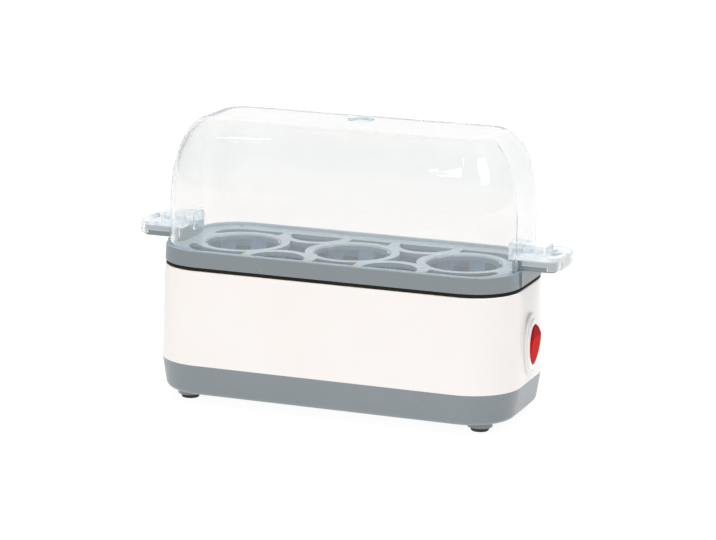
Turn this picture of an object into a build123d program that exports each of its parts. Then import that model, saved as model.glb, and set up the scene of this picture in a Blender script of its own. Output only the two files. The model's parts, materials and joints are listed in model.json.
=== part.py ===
from build123d import *
import math
import os

# Electric egg cooker for three eggs in a row, in millimetres.
# X runs along the length with the switch at +X, the front faces -Y, and Z is up from the feet.

# Housing outline, taken at the top edge of the white shell
length = 190.0
width = 82.8
corner = 25.3
wall = 2.2

# Heights of the housing
base_bottom = 5.0
seam_height = 21.3
shell_top = 70.4

# Grey base
flare = 1.3
base_draw_in = 1.2
base_round = 3.6
tongue_height = 3.0
tongue_wall = 1.6
slide_in_gap = 0.3

# Feet
foot_end_inset = 16.2
foot_side_inset = 16.0
foot_radius = 6.4
foot_boss_bottom = 2.2
pad_radius = 4.6
pad_recess = 1.0
pad_gap = 0.1
pad_chamfer = 0.4

# Screws that hold the base to the shell
screw_end_inset = 33.0
screw_side_inset = 11.4
screw_radius = 1.5
screw_gap = 0.1
screw_head_radius = 2.9
screw_head_height = 2.0
screw_slot_width = 0.7
screw_slot_depth = 1.0
screw_seat_rise = 6.5
post_radius = 4.9
post_rise = 3.7
boss_radius = 4.0
boss_rib = 2.0
screw_bite = 12.0

# Cord inlet in the back of the base
inlet_x = -30.0
inlet_rise = 8.3
inlet_boss_radius = 7.2
inlet_boss_depth = 3.4
grommet_bore = 3.3
grommet_neck = 4.4
grommet_flange = 5.7
grommet_collar = 5.4
grommet_flange_height = 1.6
grommet_collar_height = 1.8
grommet_gap = 0.1

# Shell lip, seal and heating pan
shell_round = 0.7
lip_height = 2.0
lip_inset = 3.2
seal_height = 0.6
seal_outer_inset = 0.5
flange_height = 1.0
flange_outer_inset = 1.6
pan_top_inset = 3.6
pan_foot_inset = 7.0
pan_wall = 1.2
pan_round = 2.4
pan_depth = 15.0
stud_end_inset = 49.0
stud_radius = 2.0
stud_gap = 0.2
stud_tail = 3.0
nut_radius = 4.0
nut_height = 2.6

# Bridge plate that pulls the pan down onto the seal
bridge_drop = 15.0
bridge_height = 1.2
bridge_margin = 5.0
window_to_stud = 4.0
window_to_screw = 8.0

# Tubular heating element under the pan
element_radius = 3.2
element_side_inset = 24.4
element_end_inset = 37.0
element_return_inset = 59.0
element_drop = 9.5
element_bend = 8.0
element_pin_radius = 1.2
element_pin_length = 6.0

# Thermostat and thermal fuse under the pan
thermostat_radius = 8.0
thermostat_height = 6.0
tab_width = 6.3
tab_thickness = 0.8
tab_length = 8.0
fuse_radius = 2.3
fuse_clearance = 1.8
fuse_x = 22.0

# Terminal block on the base floor
block_y = 8.0
block_length = 30.0
block_depth = 16.0
block_height = 12.0
block_stand = 2.5
block_round = 1.0
block_ways = 3
block_screw_radius = 1.8
block_screw_height = 1.2
block_entry_radius = 1.8

# Rocker switch in the +X end
switch_rise = 19.0
boss_half_width = 11.0
boss_half_height = 16.0
boss_rise = 1.2
boss_round = 0.5
bezel_half_width = 9.0
bezel_half_height = 13.0
bezel_rise = 1.2
bezel_round = 0.7
neck_half_width = 8.3
neck_half_height = 11.6
neck_gap = 0.15
neck_length = 5.7
mouth_half_width = 7.5
mouth_half_height = 10.45
rocker_half_width = 7.15
rocker_half_height = 9.9
rocker_sweep = 10.2
rocker_crest = 4.5
rocker_crest_z = 4.3
rocker_crest_round = 0.6
rocker_top_out = 3.6
rocker_bottom_out = 2.9
rocker_depth = 3.6
pivot_depth = 3.0
pivot_radius = 1.1
pivot_gap = 0.05
pivot_reach = 8.05
stem_half_width = 4.6
stem_half_height = 5.5
stem_length = 8.0
stem_round = 1.0
switch_body_length = 12.5
switch_body_half_width = 8.2
switch_body_half_height = 11.4
switch_body_round = 2.0
switch_pocket_wall = 1.2
switch_pocket_depth = 7.0
switch_tab_pitch = 7.0

# Egg tray
seat_gap = 0.2
tray_height = 8.4
tray_draw_in = 0.4
tray_wall = 1.8
rim_round = 0.7
foot_round = 0.4
ledge_drop = 1.8
ledge_height = 2.0
ledge_inset = 12.0
skirt_inset = 6.6
skirt_wall = 1.4
skirt_depth = 8.0
ring_end_inset = 34.6
ring_outer = 24.3
ring_inner = 19.5
ring_chamfer = 0.8
ring_height = 2.8
cup_outer = 22.6
cup_wall = 1.5
cup_depth = 12.5
cup_slots = 8
cup_slot_width = 8.0
cup_slot_height = 8.5
lug_angle = 33.0
lug_width = 5.0
lug_reach = 1.0
lug_drop = 0.8
moon_radius = 14.3
moon_band = 5.0
arm_width = 5.0
end_web_half = 14.5

# Tray handles
grip_half_width = 13.5
grip_reach = 16.3
grip_height = 5.3
grip_corner = 3.5
grip_wall = 2.0
grip_round = 0.7
upstand_inset = 5.7
panel_half_width = 16.5
panel_rise = 0.8
panel_margin = 0.6

# Clear lid
lid_gap = 0.3
lid_inset = 2.5
lid_wall = 1.6
lid_height = 66.9
lid_shoulder = 43.0
lid_draw_in = 18.5
lid_corner_loss = 14.5
lid_sections = 9
vent_radius = 7.0
vent_y = 8.5
notch_half_width = 14.3
notch_gap = 0.4
plate_height = 2.1
plate_half_width = 16.0
plate_overhang = 2.6
plate_corner = 7.5
plate_lap = 0.7
plate_round = 0.6
plate_skirt = 2.6
tip_skirt = 4.6
tip_skirt_inset = 5.9
hood_half_width = 6.4
hood_lap = 4.0
hood_outer_inset = 9.3
hood_rise = 3.0
hood_slope = 1.4
hood_round = 1.0
hood_drop = 2.4
hole_inset = 5.5
hole_half_length = 3.6
hole_half_width = 8.0

# Heights and places worked out from the sizes above
seal_bottom = shell_top
flange_bottom = seal_bottom + seal_height
flange_top = flange_bottom + flange_height
pan_bottom = flange_top - pan_depth
boss_top = pan_bottom - bridge_drop
post_top = seam_height + post_rise
screw_seat = base_bottom + screw_seat_rise
switch_z = seam_height + switch_rise
inlet_z = base_bottom + inlet_rise
inlet_seat = width / 2 - wall
tray_bottom = flange_top + seat_gap
rim_top = tray_bottom + tray_height
ledge_top = rim_top - ledge_drop
ledge_bottom = ledge_top - ledge_height
lid_bottom = ledge_top + lid_gap
lid_top = lid_bottom + lid_height
grip_top = rim_top + grip_height
plate_bottom = grip_top + notch_gap
plate_top = plate_bottom + plate_height
hood_top = plate_top + hood_rise
shell_draft = flare / (shell_top - seam_height)
end_face = length / 2 + shell_draft * (shell_top - switch_z)
boss_face = end_face + boss_rise
bezel_face = boss_face + bezel_rise
neck_back = boss_face - neck_length
pivot_x = bezel_face - pivot_depth
switch_back = neck_back - switch_body_length
floor_top = base_bottom + wall
web_y = width / 2 - ledge_inset
foot_x = length / 2 - foot_end_inset
foot_y = width / 2 - foot_side_inset
screw_x = length / 2 - screw_end_inset
screw_y = width / 2 - screw_side_inset
stud_x = length / 2 - stud_end_inset
element_y = width / 2 - element_side_inset
element_reach = length / 2 - element_end_inset
element_return = length / 2 - element_return_inset
fuse_length = 2 * (element_y - element_radius - fuse_clearance)
egg_pitch = length / 2 - ring_end_inset
grip_tip = length / 2 + grip_reach
upstand_inner = length / 2 - upstand_inset
plate_tip = grip_tip + plate_overhang
plate_inner = upstand_inner - plate_lap
tip_skirt_x = plate_tip - tip_skirt_inset
hood_inner = upstand_inner - hood_lap
hood_outer = plate_tip - hood_outer_inset
hole_x = plate_tip - hole_inset
egg_places = (-egg_pitch, 0.0, egg_pitch)
moon_places = (-egg_pitch / 2, egg_pitch / 2)


def outline(inset, mode=Mode.ADD):
    # Rounded outline of the housing, drawn in by an even distance
    return RectangleRounded(length - 2 * inset, width - 2 * inset, corner - inset, mode=mode)


def slice_at(height, inset):
    # The outline as a face at one height
    with BuildSketch(Plane.XY.offset(height), mode=Mode.PRIVATE) as face:
        outline(inset)
    return face.sketch


def band_at(height, outer_inset, inner_inset):
    # The strip between two outlines as a face at one height
    with BuildSketch(Plane.XY.offset(height), mode=Mode.PRIVATE) as face:
        outline(outer_inset)
        outline(inner_inset, Mode.SUBTRACT)
    return face.sketch


def ends():
    # One plane for each end, its X axis pointing out of that end
    return (Plane.XY, Plane(origin=(0, 0, 0), x_dir=(-1, 0, 0), z_dir=(0, 0, 1)))


def end_plane(distance):
    # Plane square to X at the switch, its Y axis up
    return Plane(origin=(distance, 0, switch_z), x_dir=(0, 1, 0), z_dir=(1, 0, 0))


def back_plane(distance):
    # Plane square to Y at the cord inlet, facing out of the back
    return Plane(origin=(inlet_x, distance, inlet_z), x_dir=(-1, 0, 0), z_dir=(0, 1, 0))


def half_disc(radius, x, side):
    # Half disc whose straight edge lies on the ledge's inner edge
    with BuildSketch(mode=Mode.PRIVATE) as disc:
        with Locations((x, side * web_y)):
            Circle(radius)
        with Locations((x, side * (web_y - radius / 2))):
            Rectangle(2 * radius, radius, mode=Mode.INTERSECT)
    return disc.sketch


os.makedirs("parts", exist_ok=True)

# Grey base with its feet, screw posts and the seat for the cord grommet
with BuildPart() as base:
    loft([slice_at(base_bottom, base_draw_in), slice_at(seam_height, -flare)], ruled=True)
    fillet(base.edges().group_by(Axis.Z)[0], base_round)
    loft(
        [slice_at(floor_top, base_draw_in + wall), slice_at(seam_height, wall - flare)],
        ruled=True,
        mode=Mode.SUBTRACT,
    )
    tongue_outer = wall - flare + slide_in_gap
    tongue_inner = tongue_outer + tongue_wall
    extrude(band_at(seam_height - tongue_height, wall / 2 - flare, tongue_inner), amount=tongue_height)
    extrude(band_at(seam_height, tongue_outer, tongue_inner), amount=tongue_height)
    with BuildSketch(Plane.XY.offset(foot_boss_bottom)):
        with GridLocations(2 * foot_x, 2 * foot_y, 2, 2):
            Circle(foot_radius)
    extrude(amount=floor_top - foot_boss_bottom)
    with BuildSketch(Plane.XY.offset(foot_boss_bottom)):
        with GridLocations(2 * foot_x, 2 * foot_y, 2, 2):
            Circle(pad_radius + pad_gap)
    extrude(amount=pad_recess, mode=Mode.SUBTRACT)
    with BuildSketch(Plane.XY.offset(base_bottom)):
        with GridLocations(2 * screw_x, 2 * screw_y, 2, 2):
            Circle(post_radius)
    extrude(amount=post_top - base_bottom)
    with BuildSketch(Plane.XY.offset(base_bottom)):
        with GridLocations(2 * screw_x, 2 * screw_y, 2, 2):
            Circle(screw_head_radius + 4 * screw_gap)
    extrude(amount=screw_seat - base_bottom, mode=Mode.SUBTRACT)
    with BuildSketch(Plane.XY.offset(screw_seat)):
        with GridLocations(2 * screw_x, 2 * screw_y, 2, 2):
            Circle(screw_radius + 2 * screw_gap)
    extrude(amount=post_top - screw_seat, mode=Mode.SUBTRACT)
    with BuildSketch(back_plane(inlet_seat - inlet_boss_depth)):
        Circle(inlet_boss_radius)
    extrude(amount=inlet_boss_depth + wall / 2)
    with BuildSketch(back_plane(inlet_seat)):
        Circle(grommet_flange + 2 * grommet_gap)
    extrude(amount=width, mode=Mode.SUBTRACT)
    with BuildSketch(back_plane(inlet_seat - inlet_boss_depth)):
        Circle(grommet_neck + grommet_gap)
    extrude(amount=inlet_boss_depth, mode=Mode.SUBTRACT)
    with BuildSketch(Plane.XY.offset(floor_top)):
        with Locations((inlet_x, block_y)):
            with GridLocations(block_length - block_depth / 2, 0, 2, 1):
                Circle(block_depth / 4)
    extrude(amount=block_stand)
base.part.label = "base_tub"
export_step(base.part, "parts/base_tub.step")

# Rubber pads under the feet
with BuildPart() as pads:
    with BuildSketch():
        with GridLocations(2 * foot_x, 2 * foot_y, 2, 2):
            Circle(pad_radius)
    extrude(amount=foot_boss_bottom + pad_recess)
    chamfer(pads.edges().group_by(Axis.Z)[0], pad_chamfer)
pads.part.label = "foot_pads"
export_step(pads.part, "parts/foot_pads.step")

# Long screws from the base into the shell
with BuildPart() as screws:
    with BuildSketch(Plane.XY.offset(screw_seat - screw_head_height)):
        with GridLocations(2 * screw_x, 2 * screw_y, 2, 2):
            Circle(screw_head_radius)
    extrude(amount=screw_head_height)
    with BuildSketch(Plane.XY.offset(screw_seat)):
        with GridLocations(2 * screw_x, 2 * screw_y, 2, 2):
            Circle(screw_radius)
    extrude(amount=post_top + screw_bite - screw_seat)
    with BuildSketch(Plane.XY.offset(screw_seat - screw_head_height)):
        with GridLocations(2 * screw_x, 2 * screw_y, 2, 2):
            for angle in (0, 90):
                Rectangle(screw_head_radius, screw_slot_width, rotation=angle)
    extrude(amount=screw_slot_depth, mode=Mode.SUBTRACT)
screws.part.label = "housing_screws"
export_step(screws.part, "parts/housing_screws.step")

# Rubber grommet that lines the cord inlet
with BuildPart() as grommet:
    with BuildSketch(back_plane(inlet_seat)):
        Circle(grommet_flange)
    extrude(amount=grommet_flange_height)
    with BuildSketch(back_plane(inlet_seat - inlet_boss_depth)):
        Circle(grommet_neck)
    extrude(amount=inlet_boss_depth)
    with BuildSketch(back_plane(inlet_seat - inlet_boss_depth - grommet_collar_height)):
        Circle(grommet_collar)
    extrude(amount=grommet_collar_height)
    with BuildSketch(back_plane(inlet_seat - inlet_boss_depth - grommet_collar_height)):
        Circle(grommet_bore)
    extrude(amount=width, mode=Mode.SUBTRACT)
grommet.part.label = "cord_grommet"
export_step(grommet.part, "parts/cord_grommet.step")

# White shell with the lip that carries the pan and the oval switch boss
with BuildPart() as shell:
    loft([slice_at(seam_height, -flare), slice_at(shell_top, 0)], ruled=True)
    fillet(shell.edges().group_by(Axis.Z)[-1], shell_round)
    with BuildSketch(end_plane(end_face - wall)):
        Ellipse(boss_half_width, boss_half_height)
    extrude(amount=wall + boss_rise)
    fillet(shell.faces().sort_by(Axis.X)[-1].edges(), boss_round)
    lip_bottom = shell_top - lip_height
    loft(
        [slice_at(seam_height, wall - flare), slice_at(lip_bottom, wall)],
        ruled=True,
        mode=Mode.SUBTRACT,
    )
    extrude(slice_at(lip_bottom, lip_inset), amount=lip_height, mode=Mode.SUBTRACT)
    with BuildSketch(end_plane(end_face - 2 * wall)):
        Ellipse(neck_half_width + neck_gap, neck_half_height + neck_gap)
    extrude(amount=length, mode=Mode.SUBTRACT)
    with BuildSketch(Plane.XY.offset(post_top)):
        with GridLocations(2 * screw_x, 2 * screw_y, 2, 2):
            Circle(boss_radius)
        with GridLocations(2 * screw_x, 2 * screw_y, 2, 2):
            Circle(screw_radius + screw_gap, mode=Mode.SUBTRACT)
        rib_start = screw_y + boss_radius - wall / 2
        rib_end = width / 2 - wall / 2
        for side in (-1, 1):
            with Locations((0, side * (rib_start + rib_end) / 2)):
                with GridLocations(2 * screw_x, 0, 2, 1):
                    Rectangle(boss_rib, rib_end - rib_start)
    extrude(amount=boss_top - post_top)
shell.part.label = "housing_shell"
export_step(shell.part, "parts/housing_shell.step")

# Black seal between the shell's lip and the pan, turned up around the flange's edge
with BuildPart() as seal:
    extrude(band_at(seal_bottom, seal_outer_inset, lip_inset), amount=seal_height)
    extrude(band_at(flange_bottom, seal_outer_inset, flange_outer_inset), amount=flange_height)
seal.part.label = "pan_seal"
export_step(seal.part, "parts/pan_seal.step")

# Heating pan with its flange and two studs
with BuildPart() as pan:
    extrude(slice_at(flange_bottom, flange_outer_inset), amount=flange_height)
    loft([slice_at(pan_bottom, pan_foot_inset), slice_at(flange_bottom, pan_top_inset)], ruled=True)
    fillet(pan.edges().group_by(Axis.Z)[0], pan_round)
    loft(
        [
            slice_at(pan_bottom + pan_wall, pan_foot_inset + pan_wall),
            slice_at(flange_top, pan_top_inset + pan_wall),
        ],
        ruled=True,
        mode=Mode.SUBTRACT,
    )
    with BuildSketch(Plane.XY.offset(pan_bottom)):
        with GridLocations(2 * stud_x, 0, 2, 1):
            Circle(stud_radius)
    extrude(amount=-(pan_bottom - boss_top + nut_height + stud_tail))
pan.part.label = "heating_pan"
export_step(pan.part, "parts/heating_pan.step")

# Bridge plate across the shell's bosses
with BuildPart() as bridge:
    with BuildSketch(Plane.XY.offset(boss_top)):
        RectangleRounded(2 * (screw_x + bridge_margin), 2 * (screw_y + bridge_margin), bridge_margin)
        RectangleRounded(
            2 * (stud_x - window_to_stud),
            2 * (screw_y - window_to_screw),
            bridge_margin,
            mode=Mode.SUBTRACT,
        )
        with GridLocations(2 * stud_x, 0, 2, 1):
            Circle(stud_radius + stud_gap, mode=Mode.SUBTRACT)
    extrude(amount=bridge_height)
bridge.part.label = "bridge_plate"
export_step(bridge.part, "parts/bridge_plate.step")

# Nuts on the pan's studs
with BuildPart() as nuts:
    with BuildSketch(Plane.XY.offset(boss_top - nut_height)):
        with GridLocations(2 * stud_x, 0, 2, 1):
            RegularPolygon(nut_radius, 6)
            Circle(stud_radius, mode=Mode.SUBTRACT)
    extrude(amount=nut_height)
nuts.part.label = "stud_nuts"
export_step(nuts.part, "parts/stud_nuts.step")

# Tubular element brazed under the pan, a hairpin with both ends turned down
element_z = pan_bottom - element_radius
element_end_z = element_z - element_drop
with BuildPart() as element:
    with BuildLine() as element_path:
        FilletPolyline(
            (element_return, -element_y, element_end_z),
            (element_return, -element_y, element_z),
            (-element_reach, -element_y, element_z),
            (-element_reach, element_y, element_z),
            (element_return, element_y, element_z),
            (element_return, element_y, element_end_z),
            radius=element_bend,
        )
    with BuildSketch(Plane(origin=element_path.line @ 0, z_dir=element_path.line % 0)):
        Circle(element_radius)
    sweep()
element.part.label = "heating_element"
export_step(element.part, "parts/heating_element.step")

# Terminal pins of the element
with BuildPart() as pins:
    with BuildSketch(Plane.XY.offset(element_end_z)):
        with Locations((element_return, 0)):
            with GridLocations(0, 2 * element_y, 1, 2):
                Circle(element_pin_radius)
    extrude(amount=-element_pin_length)
pins.part.label = "element_pins"
export_step(pins.part, "parts/element_pins.step")

# Disc thermostat on the pan's underside
with BuildPart() as thermostat:
    with BuildSketch(Plane.XY.offset(pan_bottom)):
        Circle(thermostat_radius)
    extrude(amount=-thermostat_height)
    with BuildSketch(Plane.XY.offset(pan_bottom)):
        with GridLocations(2 * thermostat_radius, 0, 2, 1):
            Circle(thermostat_height / 2)
    extrude(amount=-pan_wall)
thermostat.part.label = "thermostat"
export_step(thermostat.part, "parts/thermostat.step")

# Spade tabs of the thermostat
with BuildPart() as thermostat_tabs:
    with BuildSketch(Plane.XY.offset(pan_bottom - thermostat_height)):
        with GridLocations(0, thermostat_radius, 1, 2):
            Rectangle(tab_width, tab_thickness)
    extrude(amount=-tab_length)
thermostat_tabs.part.label = "thermostat_tabs"
export_step(thermostat_tabs.part, "parts/thermostat_tabs.step")

# Thermal fuse in its sleeve, laid across the pan's underside
fuse_plane = Plane(origin=(fuse_x, -fuse_length / 2, pan_bottom - fuse_radius), z_dir=(0, 1, 0))
with BuildPart() as fuse:
    with BuildSketch(fuse_plane):
        Circle(fuse_radius)
    extrude(amount=fuse_length)
fuse.part.label = "thermal_fuse"
export_step(fuse.part, "parts/thermal_fuse.step")

# Terminal block on its two stands
block_bottom = floor_top + block_stand
block_way = block_length / block_ways
with BuildPart() as block:
    with BuildSketch(Plane.XY.offset(block_bottom)):
        with Locations((inlet_x, block_y)):
            RectangleRounded(block_length, block_depth, block_round)
    extrude(amount=block_height)
    with BuildSketch(Plane.XY.offset(block_bottom + block_height)):
        with Locations((inlet_x, block_y)):
            with GridLocations(block_way, block_depth / 2, block_ways, 2):
                Circle(block_screw_radius + screw_gap)
    extrude(amount=-block_screw_height, mode=Mode.SUBTRACT)
    with BuildSketch(Plane(origin=(inlet_x, block_y - block_depth / 2, block_bottom + block_height / 3),
                           x_dir=(1, 0, 0), z_dir=(0, -1, 0))):
        with GridLocations(block_way, 0, block_ways, 1):
            Circle(block_entry_radius)
    extrude(amount=-block_depth, mode=Mode.SUBTRACT)
block.part.label = "terminal_block"
export_step(block.part, "parts/terminal_block.step")

# Clamping screws of the terminal block
with BuildPart() as block_screws:
    with BuildSketch(Plane.XY.offset(block_bottom + block_height)):
        with Locations((inlet_x, block_y)):
            with GridLocations(block_way, block_depth / 2, block_ways, 2):
                Circle(block_screw_radius)
    extrude(amount=-block_screw_height)
block_screws.part.label = "terminal_screws"
export_step(block_screws.part, "parts/terminal_screws.step")

# Oval bezel of the switch with the neck that passes through the shell
with BuildPart() as bezel:
    with BuildSketch(end_plane(boss_face)):
        Ellipse(bezel_half_width, bezel_half_height)
    extrude(amount=bezel_rise)
    fillet(bezel.edges().group_by(Axis.X)[-1], bezel_round)
    with BuildSketch(end_plane(neck_back)):
        Ellipse(neck_half_width, neck_half_height)
    extrude(amount=neck_length)
    with BuildSketch(end_plane(neck_back)):
        Ellipse(mouth_half_width, mouth_half_height)
    extrude(amount=length, mode=Mode.SUBTRACT)
    with BuildSketch(Plane(origin=(pivot_x, 0, switch_z), x_dir=(1, 0, 0), z_dir=(0, -1, 0))):
        Circle(pivot_radius + pivot_gap)
    extrude(amount=width, both=True, mode=Mode.SUBTRACT)
bezel.part.label = "switch_bezel"
export_step(bezel.part, "parts/switch_bezel.step")

# Switch body behind the bezel, open towards the rocker
with BuildPart() as switch_body:
    with BuildSketch(end_plane(switch_back)):
        RectangleRounded(2 * switch_body_half_width, 2 * switch_body_half_height, switch_body_round)
    extrude(amount=switch_body_length)
    with BuildSketch(end_plane(neck_back - switch_pocket_depth)):
        RectangleRounded(
            2 * (switch_body_half_width - switch_pocket_wall),
            2 * (switch_body_half_height - switch_pocket_wall),
            switch_body_round - switch_pocket_wall,
        )
    extrude(amount=switch_pocket_depth, mode=Mode.SUBTRACT)
switch_body.part.label = "switch_body"
export_step(switch_body.part, "parts/switch_body.step")

# Spade tabs at the back of the switch
with BuildPart() as switch_tabs:
    with BuildSketch(end_plane(switch_back)):
        with GridLocations(0, switch_tab_pitch, 1, 3):
            Rectangle(tab_width, tab_thickness)
    extrude(amount=-tab_length)
switch_tabs.part.label = "switch_tabs"
export_step(switch_tabs.part, "parts/switch_tabs.step")

# Red rocker with its pivots, top end standing out
with BuildPart() as rocker:
    with BuildSketch(end_plane(pivot_x - rocker_depth)):
        Ellipse(rocker_half_width, rocker_half_height)
    extrude(amount=rocker_depth + 2 * rocker_crest)
    with BuildSketch(Plane(origin=(pivot_x, 0, switch_z), x_dir=(1, 0, 0), z_dir=(0, -1, 0))):
        with BuildLine():
            back = math.sqrt(rocker_sweep**2 - rocker_depth**2)
            top = math.sqrt(rocker_sweep**2 - rocker_top_out**2)
            bottom = math.sqrt(rocker_sweep**2 - rocker_bottom_out**2)
            Line((-rocker_depth, -back), (-rocker_depth, back))
            ThreePointArc((-rocker_depth, back), (0, rocker_sweep), (rocker_top_out, top))
            Line((rocker_top_out, top), (rocker_crest, rocker_crest_z))
            Line((rocker_crest, rocker_crest_z), (rocker_bottom_out, -bottom))
            ThreePointArc((rocker_bottom_out, -bottom), (0, -rocker_sweep), (-rocker_depth, -back))
        make_face()
    extrude(amount=width, both=True, mode=Mode.INTERSECT)
    crest_edges = rocker.edges().filter_by(Axis.Y).sort_by(Axis.X)[-1:]
    fillet(crest_edges, rocker_crest_round)
    with BuildSketch(end_plane(pivot_x - stem_length)):
        RectangleRounded(2 * stem_half_width, 2 * stem_half_height, stem_round)
    extrude(amount=stem_length)
    with BuildSketch(Plane(origin=(pivot_x, 0, switch_z), x_dir=(1, 0, 0), z_dir=(0, -1, 0))):
        Circle(pivot_radius)
    extrude(amount=pivot_reach, both=True)
rocker.part.label = "switch_rocker"
export_step(rocker.part, "parts/switch_rocker.step")

# Block from which each tray handle is made
with BuildPart() as grip:
    grip_length = grip_tip - upstand_inner
    with BuildSketch(Plane.XY.offset(rim_top)):
        with Locations((upstand_inner + grip_length / 2, 0)):
            RectangleRounded(grip_length, 2 * grip_half_width, grip_corner)
        with Locations((upstand_inner + grip_corner, 0)):
            Rectangle(2 * grip_corner, 2 * grip_half_width)
    extrude(amount=grip_height)
    fillet(grip.edges().group_by(Axis.Z)[-1], grip_round)

# Egg tray: rim, ledge, webs between the rings, and a handle at each end
with BuildPart() as tray:
    loft([slice_at(tray_bottom, 0), slice_at(rim_top, tray_draw_in)], ruled=True)
    loft(
        [slice_at(tray_bottom, tray_wall), slice_at(rim_top, tray_draw_in + tray_wall)],
        ruled=True,
        mode=Mode.SUBTRACT,
    )
    fillet(tray.edges().group_by(Axis.Z)[-1], rim_round)
    fillet(tray.edges().group_by(Axis.Z)[0], foot_round)
    with BuildSketch(Plane.XY.offset(ledge_bottom)):
        outline(tray_wall - tray_draw_in / 2)
        outline(ledge_inset, Mode.SUBTRACT)
        with Locations(*((x, 0) for x in egg_places)):
            Circle(ring_outer)
        for x in moon_places:
            for side in (-1, 1):
                add(half_disc(moon_radius + moon_band, x, side))
        for x in moon_places:
            for side in (-1, 1):
                for step in (-1, 1):
                    arm_x = x + step * (moon_radius + arm_width / 2)
                    with Locations((arm_x, side * (web_y - moon_radius / 2))):
                        Rectangle(arm_width, moon_radius + wall)
        for side in (-1, 1):
            with Locations((side * (length / 2 - ledge_inset), 0)):
                Rectangle(2 * ledge_inset, 2 * end_web_half)
        for x in moon_places:
            for side in (-1, 1):
                add(half_disc(moon_radius, x, side), mode=Mode.SUBTRACT)
        with Locations(*((x, 0) for x in egg_places)):
            Circle(ring_outer, mode=Mode.SUBTRACT)
    extrude(amount=ledge_height)
    extrude(band_at(ledge_bottom, skirt_inset, skirt_inset + skirt_wall), amount=-skirt_depth)
    for turn, plane in zip((0, 180), ends()):
        add(grip.part, rotation=(0, 0, turn))
        with BuildSketch(plane.offset(ledge_top)):
            with Locations((upstand_inner + grip_wall / 2, 0)):
                Rectangle(grip_wall, 2 * grip_half_width)
        extrude(amount=grip_height)
        with BuildSketch(plane.offset(rim_top)):
            pocket_start = length / 2
            pocket_length = grip_tip - grip_wall - pocket_start
            with Locations((pocket_start + pocket_length / 2, 0)):
                RectangleRounded(pocket_length, 2 * (grip_half_width - grip_wall), grip_wall)
        extrude(amount=grip_height - grip_wall, mode=Mode.SUBTRACT)
        with BuildSketch(plane.offset(tray_bottom + panel_margin)):
            panel_thickness = panel_rise + tray_wall / 2
            with Locations((length / 2 + panel_rise - panel_thickness / 2, 0)):
                Rectangle(panel_thickness, 2 * panel_half_width)
        extrude(amount=tray_height - panel_margin)
tray.part.label = "egg_tray"
export_step(tray.part, "parts/egg_tray.step")

# Egg rings: a seat for the egg, four lugs and a collar of eight fingers that hangs into the pan
cup_names = ("egg_ring_left", "egg_ring_middle", "egg_ring_right")
for name, x in zip(cup_names, egg_places):
    with BuildPart() as cup:
        with BuildSketch(Plane(origin=(x, 0, ledge_top), x_dir=(1, 0, 0), z_dir=(0, -1, 0))):
            with BuildLine():
                Polyline(
                    (ring_outer, 0),
                    (ring_outer, -ledge_height),
                    (cup_outer, -ledge_height),
                    (cup_outer, -cup_depth),
                    (cup_outer - cup_wall, -cup_depth),
                    (cup_outer - cup_wall, -ring_height),
                    (ring_inner, -ring_height),
                    (ring_inner, -ring_chamfer),
                    (ring_inner + ring_chamfer, 0),
                    close=True,
                )
            make_face()
        revolve(axis=Axis((x, 0, 0), (0, 0, 1)))
        with BuildSketch(Plane.XY.offset(ledge_top - cup_depth)):
            with Locations((x, 0)):
                with PolarLocations(cup_outer - cup_wall / 2, cup_slots, start_angle=180 / cup_slots):
                    Rectangle(3 * cup_wall, cup_slot_width)
        extrude(amount=cup_slot_height, mode=Mode.SUBTRACT)
        with BuildSketch(Plane.XY.offset(ledge_top - ring_height)):
            with Locations((x, 0)):
                for angle in (lug_angle, 180 - lug_angle, 180 + lug_angle, 360 - lug_angle):
                    with PolarLocations(ring_inner, 1, start_angle=angle):
                        Rectangle(2 * lug_reach, lug_width)
        extrude(amount=ring_height - lug_drop)
    cup.part.label = name
    export_step(cup.part, f"parts/{name}.step")

# Flat plate of each lid handle, its hood and the room under the hood
plate_length = plate_tip - plate_inner
with BuildPart() as plate:
    with BuildSketch(Plane.XY.offset(plate_bottom)):
        with Locations((plate_inner + plate_length / 2, 0)):
            RectangleRounded(plate_length, 2 * plate_half_width, plate_corner)
        with Locations((plate_inner + plate_corner, 0)):
            Rectangle(2 * plate_corner, 2 * plate_half_width)
    extrude(amount=plate_height)
    fillet(plate.edges().group_by(Axis.Z)[-1], plate_round)


def hood_block(skin):
    # Wedge that rises towards the dome, drawn in by the skin on all sides but below
    half_width = hood_half_width - skin
    with BuildPart(mode=Mode.PRIVATE) as block:
        with BuildSketch(Plane(origin=(0, half_width, 0), x_dir=(1, 0, 0), z_dir=(0, -1, 0))):
            with BuildLine():
                Polyline(
                    (hood_inner + skin, plate_bottom),
                    (hood_outer - skin, plate_bottom),
                    (hood_outer - skin, hood_top - skin),
                    (hood_inner + skin, hood_top + hood_slope - skin),
                    close=True,
                )
            make_face()
        extrude(amount=2 * half_width)
    return block.part


hood = hood_block(0.0)
hood = hood.fillet(hood_round, hood.faces().sort_by(Axis.Z)[-1].edges())
hood_room = hood_block(lid_wall)

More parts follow.
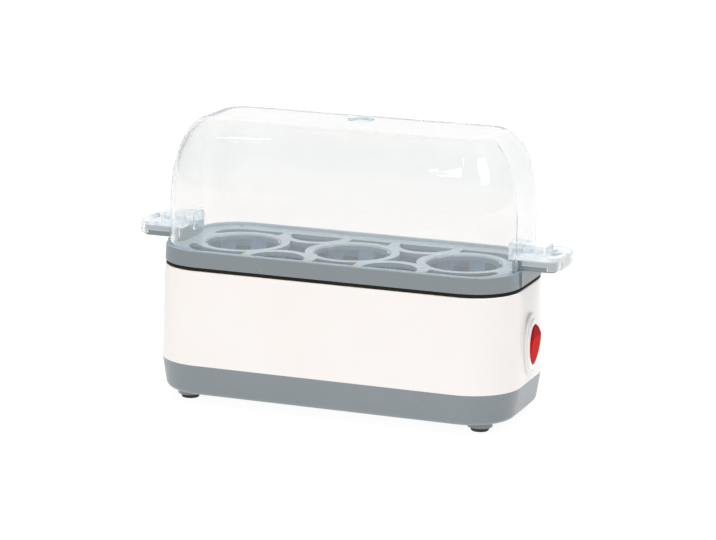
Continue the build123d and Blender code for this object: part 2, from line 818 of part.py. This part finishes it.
# Clear lid: a domed cover, open below, with a flat handle at each end
with BuildPart() as lid:
    for skin, mode in ((0.0, Mode.ADD), (lid_wall, Mode.SUBTRACT)):
        sections = [slice_at(lid_bottom, lid_inset + skin)]
        for step in range(lid_sections):
            turn = math.pi / 2 * step / (lid_sections - 1)
            draw_in = lid_draw_in * (1 - math.cos(turn))
            height = lid_top - lid_shoulder + (lid_shoulder - skin) * math.sin(turn)
            inset = lid_inset + skin + draw_in
            radius = corner - lid_inset - skin - lid_corner_loss * (1 - math.cos(turn))
            with BuildSketch(Plane.XY.offset(height), mode=Mode.PRIVATE) as face:
                RectangleRounded(length - 2 * inset, width - 2 * inset, radius)
            sections.append(face.sketch)
        loft(sections[:2], ruled=True, mode=mode)
        loft(sections[1:], mode=mode)
    with BuildSketch(Plane.XY.offset(lid_top)):
        with Locations((0, vent_y)):
            Circle(vent_radius)
    extrude(amount=-2 * lid_wall, mode=Mode.SUBTRACT)
    for turn, plane in zip((0, 180), ends()):
        with BuildSketch(plane.offset(lid_bottom)):
            with Locations((length / 2 - lid_inset, 0)):
                Rectangle(4 * lid_wall, 2 * notch_half_width)
        extrude(amount=plate_bottom - lid_bottom, mode=Mode.SUBTRACT)
        add(plate.part, rotation=(0, 0, turn))
        for skirt, start in ((plate_skirt, length / 2 + lid_gap), (tip_skirt, tip_skirt_x)):
            with BuildSketch(plane.offset(plate_bottom)):
                with Locations((plate_inner + plate_length / 2, 0)):
                    RectangleRounded(plate_length, 2 * plate_half_width, plate_corner)
                    RectangleRounded(
                        plate_length - 2 * lid_wall,
                        2 * (plate_half_width - lid_wall),
                        plate_corner - lid_wall,
                        mode=Mode.SUBTRACT,
                    )
                with Locations((start + plate_length / 2, 0)):
                    Rectangle(plate_length, 2 * plate_half_width, mode=Mode.INTERSECT)
            extrude(amount=-skirt)
        add(hood, rotation=(0, 0, turn))
        add(hood_room, rotation=(0, 0, turn), mode=Mode.SUBTRACT)
        with BuildSketch(plane.offset(plate_bottom)):
            drop_end = upstand_inner - notch_gap
            with Locations(((hood_inner + drop_end) / 2, 0)):
                Rectangle(drop_end - hood_inner, 2 * hood_half_width)
            with Locations((drop_end, 0)):
                Rectangle(
                    2 * (drop_end - hood_inner - lid_wall),
                    2 * (hood_half_width - lid_wall),
                    mode=Mode.SUBTRACT,
                )
        extrude(amount=-hood_drop)
        with BuildSketch(plane.offset(plate_bottom)):
            with Locations((hole_x, 0)):
                Ellipse(hole_half_length, hole_half_width)
        extrude(amount=plate_height, mode=Mode.SUBTRACT)
lid.part.label = "lid"
export_step(lid.part, "parts/lid.step")
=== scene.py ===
import json
import math

import bpy
from mathutils import Matrix, Vector


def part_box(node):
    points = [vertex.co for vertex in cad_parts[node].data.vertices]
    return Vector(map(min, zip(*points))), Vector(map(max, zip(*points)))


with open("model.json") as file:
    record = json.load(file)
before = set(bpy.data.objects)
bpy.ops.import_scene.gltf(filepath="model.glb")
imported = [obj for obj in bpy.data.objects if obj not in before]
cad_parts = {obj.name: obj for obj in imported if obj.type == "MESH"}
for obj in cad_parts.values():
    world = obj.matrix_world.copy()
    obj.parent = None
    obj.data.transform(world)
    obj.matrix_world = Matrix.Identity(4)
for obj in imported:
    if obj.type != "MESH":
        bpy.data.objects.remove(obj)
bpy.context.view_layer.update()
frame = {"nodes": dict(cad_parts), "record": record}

MM = 0.001
WHITE = (1.0, 1.0, 1.0)

# Lid: how far out its handles start, and the heights between which its sides turn into its top
HANDLE_START = 93.0 * MM
DOME_CURVE_START = 103.0 * MM
DOME_TOP_START = 125.0 * MM
DOME_CURVE_END = 139.0 * MM
DOME_TOP_FULL = 145.0 * MM

# Rocker: the height of the crest across its lens
LENS_CREST = 44.6 * MM

# Tray: its outline, a rectangle with round corners
TRAY_HALF_LENGTH = 95.0 * MM
TRAY_HALF_WIDTH = 41.4 * MM
TRAY_CORNER = 25.3 * MM

# Camera, solved from the outlines in the photograph: angles in radians, lengths in metres
CAMERA_AZIMUTH = 0.35587
CAMERA_PITCH = 0.23983
CAMERA_ROLL = 0.01731
CAMERA_DISTANCE = 1.45929
CAMERA_TARGET = Vector((0.0, 0.0, 0.040))
FOCAL_PIXELS = 2838.4
FRAME_PIXELS = 716.0
SENSOR_MM = 36.0

# How far the middle of the picture lies to the right of the camera's target, and above it
AIM_RIGHT = 6.56 / FOCAL_PIXELS
AIM_UP = 55.51 / FOCAL_PIXELS

# Noise scales that several finishes share, in waves per metre
TONE_WAVES = 18.0
GLOSS_WAVES = 60.0

# Finishes, as moulded and metal take them: two tones, the range of roughness, the grain in waves
# per metre, the depth of the grain, and the sheen where it isn't the usual one
GREY = ((0.202, 0.233, 0.249), (0.223, 0.254, 0.270), (0.26, 0.34), 1500.0, 0.01 * MM, 0.7)
MOULDED_FINISHES = {
    "white_shell": ((0.875, 0.83, 0.80), (0.90, 0.86, 0.835), (0.18, 0.26), 260.0, 0.03 * MM),
    # The bezel's white, lighter than the shell's: partly its own white, partly a painted highlight
    "white_bezel_painted_highlight": ((0.92, 0.915, 0.89), (0.95, 0.945, 0.93), (0.08, 0.14), 300.0, 0.01 * MM, 0.8),
    "grey_plastic": GREY,
    "pan_coating": ((0.085, 0.13, 0.185), (0.115, 0.16, 0.22), (0.3, 0.45), 1800.0, 0.03 * MM),
    "black_seal": ((0.018, 0.016, 0.013), (0.026, 0.023, 0.019), (0.75, 0.9), 1500.0, 0.05 * MM, 0.1),
    "foot_rubber": ((0.018, 0.018, 0.02), (0.03, 0.03, 0.032), (0.6, 0.75), 1500.0, 0.06 * MM),
    "black_plastic": ((0.012, 0.012, 0.013), (0.02, 0.02, 0.021), (0.35, 0.5), 2400.0, 0.03 * MM),
    "fuse_sleeve": ((0.62, 0.6, 0.54), (0.74, 0.72, 0.66), (0.8, 0.9), 1300.0, 0.2 * MM),
    "block_plastic": ((0.7, 0.7, 0.67), (0.76, 0.76, 0.73), (0.4, 0.5), 2000.0, 0.03 * MM),
}
METAL_FINISHES = {
    "bright_steel": ((0.60, 0.60, 0.60), (0.68, 0.68, 0.67), (0.25, 0.4), 900.0, 0.01 * MM),
    "element_tube": ((0.40, 0.385, 0.37), (0.5, 0.485, 0.47), (0.3, 0.5), 700.0, 0.02 * MM),
    "terminal_brass": ((0.72, 0.52, 0.24), (0.8, 0.62, 0.3), (0.25, 0.4), 900.0, 0.01 * MM),
}

# Painted shade: the blue painted on the tray's walls inside the rim, from the first depth below the rings'
# top to the second
TRAY_PAINTED_SHADE_TONE = (0.185, 0.295, 0.425)
TRAY_PAINTED_SHADE_START = 0.5 * MM
TRAY_PAINTED_SHADE_END = 5.0 * MM

# The lid's handles: their roughness, and how much of their light the haze scatters
HANDLE_ROUGHNESS = 0.16
HANDLE_HAZE = 0.17

# The floor: half its side, its glow, and the glow of its left part in mirror images
FLOOR_HALF = 12.0
FLOOR_GLOW = 0.93
FLOOR_GLOW_MIRRORED = 0.5


def make_camera():
    """The camera stands where the photograph was taken from and looks at the middle of its frame."""
    back = Vector(
        (
            math.sin(CAMERA_AZIMUTH) * math.cos(CAMERA_PITCH),
            -math.cos(CAMERA_AZIMUTH) * math.cos(CAMERA_PITCH),
            math.sin(CAMERA_PITCH),
        )
    )
    level = Vector((math.cos(CAMERA_AZIMUTH), math.sin(CAMERA_AZIMUTH), 0.0))
    above = back.cross(level)
    right = level * math.cos(CAMERA_ROLL) + above * math.sin(CAMERA_ROLL)
    up = above * math.cos(CAMERA_ROLL) - level * math.sin(CAMERA_ROLL)
    away = (back - right * AIM_RIGHT - up * AIM_UP).normalized()
    side = up.cross(away).normalized()
    top = away.cross(side)
    turn = Matrix((side, top, away)).transposed().to_4x4()
    data = bpy.data.cameras.new("camera")
    data.sensor_width = SENSOR_MM
    data.lens = FOCAL_PIXELS / FRAME_PIXELS * SENSOR_MM
    data.clip_start = 0.05
    data.clip_end = 100.0
    camera = bpy.data.objects.new("camera", data)
    camera.matrix_world = Matrix.Translation(CAMERA_TARGET + back * CAMERA_DISTANCE) @ turn
    bpy.context.scene.collection.objects.link(camera)
    bpy.context.scene.camera = camera


# Material helpers


def start_material(name):
    """A new node material with its Principled shader."""
    material = bpy.data.materials.new(name)
    material.use_nodes = True
    tree = material.node_tree
    shader = tree.nodes["Principled BSDF"]
    return material, tree, shader


def coordinates(tree, kind="Object"):
    """Texture coordinates: those of the object are in metres."""
    return tree.nodes.new("ShaderNodeTexCoord").outputs[kind]


def axes(tree, kind="Object"):
    """Texture coordinates, split into X, Y and Z."""
    node = tree.nodes.new("ShaderNodeSeparateXYZ")
    tree.links.new(coordinates(tree, kind), node.inputs["Vector"])
    return node.outputs


def noise(tree, scale, detail, roughness=0.5):
    """Noise in object space: scale is in waves per metre."""
    node = tree.nodes.new("ShaderNodeTexNoise")
    node.inputs["Scale"].default_value = scale
    node.inputs["Detail"].default_value = detail
    node.inputs["Roughness"].default_value = roughness
    tree.links.new(coordinates(tree), node.inputs["Vector"])
    return node.outputs["Fac"]


def ramp(tree, value, low, high, from_low=0.3, from_high=0.7):
    """Maps a value from one range onto another. The usual first range is the one noise mostly fills."""
    node = tree.nodes.new("ShaderNodeMapRange")
    node.inputs["From Min"].default_value = from_low
    node.inputs["From Max"].default_value = from_high
    node.inputs["To Min"].default_value = low
    node.inputs["To Max"].default_value = high
    tree.links.new(value, node.inputs["Value"])
    return node.outputs["Result"]


def two_tone(tree, value, first, second):
    """Colour between two tones by a value from 0 to 1; each tone is a colour or another node's colour."""
    node = tree.nodes.new("ShaderNodeMix")
    node.data_type = "RGBA"
    inputs = [socket for socket in node.inputs if socket.type == "RGBA"]
    for socket, tone in zip(inputs, (first, second)):
        if isinstance(tone, tuple):
            socket.default_value = (*tone, 1.0)
        else:
            tree.links.new(tone, socket)
    tree.links.new(value, node.inputs["Factor"])
    return next(socket for socket in node.outputs if socket.type == "RGBA")


def sums(tree, operation, *values):
    """One arithmetic step on one or two values."""
    node = tree.nodes.new("ShaderNodeMath")
    node.operation = operation
    for place, value in enumerate(values):
        tree.links.new(value, node.inputs[place])
    return node.outputs["Value"]


def mixed(tree, share, first, second):
    """A shader between two others; the share is that of the second."""
    node = tree.nodes.new("ShaderNodeMixShader")
    for place, value in enumerate((share, first, second)):
        tree.links.new(value, node.inputs[place])
    return node.outputs["Shader"]


def bump(tree, shader, height, distance):
    """Raises the shader's surface by a height from 0 to 1 times the distance."""
    node = tree.nodes.new("ShaderNodeBump")
    node.inputs["Distance"].default_value = distance
    tree.links.new(height, node.inputs["Height"])
    tree.links.new(node.outputs["Normal"], shader.inputs["Normal"])


# Materials


def moulded(name, first, second, rough, grain, grain_depth, sheen=0.5):
    """Moulded plastic or rubber: a fine grain, a slow change of tone and slightly uneven gloss."""
    material, tree, shader = start_material(name)
    tone = ramp(tree, noise(tree, TONE_WAVES, 3.0), 0.0, 1.0)
    tree.links.new(two_tone(tree, tone, first, second), shader.inputs["Base Color"])
    gloss = ramp(tree, noise(tree, GLOSS_WAVES, 4.0), *rough)
    tree.links.new(gloss, shader.inputs["Roughness"])
    shader.inputs["IOR"].default_value = 1.5
    shader.inputs["Specular IOR Level"].default_value = sheen
    bump(tree, shader, noise(tree, grain, 3.0, 0.6), grain_depth)
    return material


def metal(name, *finish):
    """Plain or plated metal with a drawn grain."""
    material = moulded(name, *finish)
    material.node_tree.nodes["Principled BSDF"].inputs["Metallic"].default_value = 1.0
    return material


def tray_plastic_painted_shade(name):
    """The tray's grey plastic, whose walls inside the rim get a painted blue shade as they go down."""
    material = moulded(name, *GREY)
    tree = material.node_tree
    shader = tree.nodes["Principled BSDF"]
    tone = shader.inputs["Base Color"].links[0].from_socket
    place = axes(tree)
    squares = []
    for axis, half in (("X", TRAY_HALF_LENGTH), ("Y", TRAY_HALF_WIDTH)):
        outward = sums(tree, "ABSOLUTE", place[axis])
        past = ramp(tree, outward, 0.0, TRAY_CORNER, half - TRAY_CORNER, half)
        squares.append(sums(tree, "MULTIPLY", past, past))
    reach = sums(tree, "ADD", *squares)
    inside = ramp(tree, reach, 1.0, 0.0, (TRAY_CORNER - 2.0 * MM) ** 2, (TRAY_CORNER - MM) ** 2)
    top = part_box("egg_ring_middle")[1][2]
    # Painted shade: blue painted on the walls below the rings' top, inside the rim's outline
    depth = ramp(tree, place["Z"], 1.0, 0.0, top - TRAY_PAINTED_SHADE_END, top - TRAY_PAINTED_SHADE_START)
    painted_shade_mask = sums(tree, "MULTIPLY", inside, depth)
    tree.links.new(two_tone(tree, painted_shade_mask, tone, TRAY_PAINTED_SHADE_TONE), shader.inputs["Base Color"])
    return material


def ribbed_lens(name):
    """Clear red lens: fine upright ribs inside it, and painted shade on the face above its crest."""
    material, tree, shader = start_material(name)
    wave = tree.nodes.new("ShaderNodeTexWave")
    wave.bands_direction = "Y"
    wave.inputs["Scale"].default_value = 230.0
    wave.inputs["Distortion"].default_value = 1.5
    tree.links.new(coordinates(tree), wave.inputs["Vector"])
    ribs = wave.outputs["Fac"]
    lit = two_tone(tree, ribs, (0.56, 0.005, 0.004), (0.74, 0.010, 0.007))
    edge = 0.3 * MM
    # Painted shade: the face above the crest is painted a darker red
    above = ramp(tree, axes(tree)["Z"], 0.0, 1.0, LENS_CREST - edge, LENS_CREST + edge)
    tree.links.new(two_tone(tree, above, lit, (0.40, 0.008, 0.014)), shader.inputs["Base Color"])
    gloss = ramp(tree, noise(tree, GLOSS_WAVES, 4.0), 0.10, 0.18)
    tree.links.new(gloss, shader.inputs["Roughness"])
    shader.inputs["Specular IOR Level"].default_value = 0.0
    shader.inputs["Coat Weight"].default_value = 0.10
    shader.inputs["Coat Roughness"].default_value = 0.05
    bump(tree, shader, ribs, 0.01 * MM)
    return material


def clear_plastic(name):
    """Clear plastic: warm where light passes, with a bluish haze that scatters from each face, and painted
    shade, a greyer tone where the dome's sides turn into its top. The haze is thinner on the dome's top,
    and thicker, whiter and rougher on the handles. Soft light passes through to what is inside."""
    material, tree, shader = start_material(name)
    place = axes(tree)
    outward = sums(tree, "ABSOLUTE", place["X"])
    handle = ramp(tree, outward, 0.0, 1.0, HANDLE_START, HANDLE_START + MM)

    tone = ramp(tree, noise(tree, 22.0, 3.0), 0.0, 1.0)
    warm = two_tone(tree, tone, (0.995, 0.95, 0.925), (1.0, 0.965, 0.94))
    # Painted shade: a greyer tone painted where the dome's sides turn into its top, and a little over the
    # top
    rise = ramp(tree, place["Z"], 0.0, 1.0, DOME_CURVE_START, DOME_TOP_START)
    fall = ramp(tree, place["Z"], 1.0, 0.2, DOME_CURVE_END, DOME_TOP_FULL)
    painted_shade_curve = sums(tree, "MULTIPLY", rise, fall)
    tree.links.new(two_tone(tree, painted_shade_curve, warm, (0.955, 0.94, 0.92)), shader.inputs["Base Color"])
    gloss = ramp(tree, noise(tree, 35.0, 4.0), 0.015, 0.05)
    matt = ramp(tree, handle, 0.0, HANDLE_ROUGHNESS, 0.0, 1.0)
    tree.links.new(sums(tree, "MAXIMUM", gloss, matt), shader.inputs["Roughness"])
    shader.inputs["Transmission Weight"].default_value = 1.0
    shader.inputs["IOR"].default_value = 1.49
    bump(tree, shader, noise(tree, 45.0, 1.0), 0.04 * MM)

    scatter = tree.nodes.new("ShaderNodeBsdfDiffuse")
    haze_tone = two_tone(tree, handle, (0.885, 0.935, 0.965), (0.89, 0.875, 0.875))
    tree.links.new(haze_tone, scatter.inputs["Color"])
    thin = ramp(tree, noise(tree, 16.0, 3.0), 0.092, 0.112)
    thick = sums(tree, "MAXIMUM", thin, ramp(tree, handle, 0.0, HANDLE_HAZE, 0.0, 1.0))
    thinner_above = ramp(tree, place["Z"], 1.0, 0.4, DOME_TOP_START, DOME_TOP_FULL)
    haze = sums(tree, "MULTIPLY", thick, thinner_above)
    hazy = mixed(tree, haze, shader.outputs["BSDF"], scatter.outputs["BSDF"])

    through = tree.nodes.new("ShaderNodeBsdfTransparent")
    through.inputs["Color"].default_value = (0.905, 0.97, 1.0, 1.0)
    path = tree.nodes.new("ShaderNodeLightPath")
    soft = sums(tree, "MAXIMUM", path.outputs["Is Shadow Ray"], path.outputs["Is Diffuse Ray"])
    surface = mixed(tree, soft, hazy, through.outputs["BSDF"])
    tree.links.new(surface, tree.nodes["Material Output"].inputs["Surface"])
    return material


def make_materials():
    """Every material by the name that dress_nodes asks for."""
    materials = {name: moulded(name, *finish) for name, finish in MOULDED_FINISHES.items()}
    for name, finish in METAL_FINISHES.items():
        materials[name] = metal(name, *finish)
    materials["tray_plastic_painted_shade"] = tray_plastic_painted_shade("tray_plastic_painted_shade")
    materials["clear_lid"] = clear_plastic("clear_lid")
    materials["red_lens"] = ribbed_lens("red_lens")
    return materials


def dress_nodes(materials):
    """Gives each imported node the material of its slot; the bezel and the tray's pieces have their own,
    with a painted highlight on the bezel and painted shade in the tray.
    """
    for entry in frame["record"]["subparts"]:
        node = frame["nodes"][entry["node"]]
        finish = entry["material_slot"]
        if entry["node"] == "switch_bezel":
            finish = "white_bezel_painted_highlight"
        elif entry["node"].startswith("egg_"):
            finish = "tray_plastic_painted_shade"
        node.data.materials.clear()
        node.data.materials.append(materials[finish])


# Stage


def make_floor():
    """A pale floor that glows, with its left part dimmer in mirror images."""
    signs = ((-1, -1), (1, -1), (1, 1), (-1, 1))
    corners = [(x * FLOOR_HALF, y * FLOOR_HALF, 0.0) for x, y in signs]
    data = bpy.data.meshes.new("floor")
    data.from_pydata(corners, [], [(0, 1, 2, 3)])
    floor = bpy.data.objects.new("floor", data)
    bpy.context.scene.collection.objects.link(floor)
    material, tree, shader = start_material("floor")
    shader.inputs["Base Color"].default_value = (0.12, 0.12, 0.12, 1.0)
    shader.inputs["Roughness"].default_value = 0.9
    shader.inputs["Specular IOR Level"].default_value = 0.0
    shader.inputs["Emission Color"].default_value = (*WHITE, 1.0)
    left = ramp(tree, axes(tree)["X"], 1.0, 0.0, -0.35, -0.1)
    path = tree.nodes.new("ShaderNodeLightPath")
    # Rays that pass through clear plastic count as glossy too, so they are taken out again
    mirrored = sums(tree, "SUBTRACT", path.outputs["Is Glossy Ray"], path.outputs["Is Transmission Ray"])
    dimmed = sums(tree, "MULTIPLY", left, mirrored)
    glow = ramp(tree, dimmed, FLOOR_GLOW, FLOOR_GLOW_MIRRORED, 0.0, 1.0)
    tree.links.new(glow, shader.inputs["Emission Strength"])
    data.materials.append(material)


def make_world():
    """Light from all round, darker towards the front and towards both ends."""
    world = bpy.data.worlds.new("studio")
    bpy.context.scene.world = world
    world.use_nodes = True
    tree = world.node_tree
    background = tree.nodes["Background"]
    direction = axes(tree, "Generated")
    shade = ramp(tree, direction["Y"], 0.42, 0.94, -0.9, 0.1)
    flags = ramp(tree, sums(tree, "ABSOLUTE", direction["X"]), 1.0, 0.48, 0.55, 0.95)
    tree.links.new(sums(tree, "MULTIPLY", shade, flags), background.inputs["Color"])
    background.inputs["Strength"].default_value = 1.0


def area_light(name, place, target, size, power, colour=WHITE, seen=False):
    """A lamp: one that is seen only shows as a highlight in gloss, the others only light the object."""
    data = bpy.data.lights.new(name, "AREA")
    data.shape = "RECTANGLE"
    data.size, data.size_y = size
    data.energy = power
    data.color = colour
    light = bpy.data.objects.new(name, data)
    light.location = place
    light.visible_glossy = seen
    light.visible_transmission = seen
    light.visible_diffuse = not seen
    light.rotation_mode = "QUATERNION"
    light.rotation_quaternion = (Vector(target) - Vector(place)).to_track_quat("-Z", "Y")
    bpy.context.scene.collection.objects.link(light)


def make_lights():
    """Two lamps that light the body, and three whose highlights lie on the dome's front edge."""
    body = (0.0, 0.0, 0.06)
    area_light("front", (-0.5, -1.6, 0.9), body, (1.0, 0.8), 10.8, colour=(1.0, 0.985, 0.97))
    area_light("top", (0.2, 0.2, 1.4), body, (1.2, 0.8), 26.0, colour=(0.93, 0.98, 1.0))
    edge_right = (0.085, -0.034, 0.132)
    area_light("strip", (-0.2375, -0.86, 0.825), edge_right, (0.035, 0.44), 0.45, seen=True)
    edge_corner = (0.08, -0.034, 0.132)
    area_light("corner", (0.76, -0.53, 0.83), edge_corner, (0.5, 0.6), 4.0, seen=True)
    edge_left = (-0.052, -0.031, 0.139)
    area_light("spot", (-0.405, -0.54, 0.85), edge_left, (0.005, 0.07), 0.04, seen=True)


make_camera()
dress_nodes(make_materials())
make_floor()
make_world()
make_lights()
bpy.context.scene.view_settings.view_transform = "Standard"
cycles = bpy.context.scene.cycles
cycles.max_bounces = 32
cycles.transmission_bounces = 32
cycles.glossy_bounces = 16
cycles.transparent_max_bounces = 32
